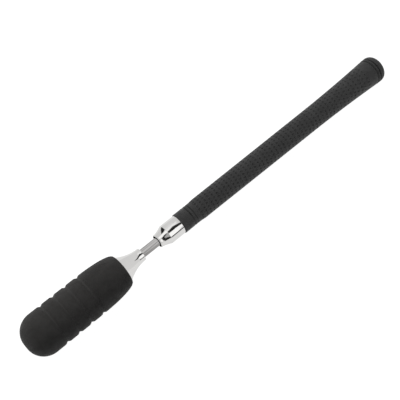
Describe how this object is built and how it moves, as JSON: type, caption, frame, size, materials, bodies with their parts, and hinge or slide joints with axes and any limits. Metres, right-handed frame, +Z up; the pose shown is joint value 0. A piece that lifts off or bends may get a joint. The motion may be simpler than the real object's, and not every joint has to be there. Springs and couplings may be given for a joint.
{
  "type": "telescoping magnetic pickup tool",
  "caption": "Telescoping pickup tool with a golf-type rubber grip, a chromed ferrule, nested steel tubes and a magnet head under a ribbed pull-off cover.",
  "frame": {"origin": "on the tool's axis, halfway along the closed tool from the cover's tip to the butt cap", "axes": "+X along the tool's axis towards the butt of the grip, so the magnet faces -X; +Z up with the tool lying level"},
  "size_m": [0.4336, 0.039, 0.039],
  "materials": {
    "grip_rubber": "matte",
    "cover_rubber": "matte",
    "chrome": "polished",
    "stainless": "satin",
    "plain_steel": "satin",
    "nickel_magnet": "satin",
    "black_steel": "satin",
    "brass": "satin",
    "natural_nylon": "matte",
    "black_nylon": "satin"
  },
  "bodies": {
    "handle": {"grip_sleeve": "grip_rubber", "butt_cap": "grip_rubber", "core_tube": "plain_steel", "core_end_plug": "natural_nylon", "ferrule": "chrome", "guide_bush": "black_nylon"},
    "outer_section": {"outer_tube": "stainless", "outer_collar": "brass"},
    "middle_section": {"middle_tube": "stainless", "middle_clip": "brass"},
    "inner_slider": {"inner_clip": "brass"},
    "head": {"inner_tube": "stainless", "tube_insert": "brass", "holder_screw": "black_steel", "magnet_holder": "chrome", "magnet_barrel": "stainless", "spacer_tube": "natural_nylon", "backing_disc": "plain_steel", "rear_magnet": "nickel_magnet", "pole_disc": "plain_steel", "front_magnet": "nickel_magnet", "face_disc": "plain_steel"},
    "cover": {"cover": "cover_rubber"}
  },
  "joints": [
    {"name": "outer_slide", "type": "slide", "parent": "handle", "child": "outer_section", "axis": [-1, 0, 0], "range_m": [0, 0.205]},
    {"name": "middle_slide", "type": "slide", "parent": "outer_section", "child": "middle_section", "axis": [-1, 0, 0], "range_m": [0, 0.205]},
    {"name": "inner_slide", "type": "slide", "parent": "middle_section", "child": "inner_slider", "axis": [-1, 0, 0], "range_m": [0, 0.196]},
    {"name": "head_turn", "type": "hinge", "parent": "inner_slider", "child": "head", "pos_m": [-0.09, 0, 0], "axis": [-1, 0, 0], "continuous": true},
    {"name": "cover_slide", "type": "slide", "parent": "head", "child": "cover", "axis": [-1, 0, 0], "range_m": [0, 0.11]}
  ]
}
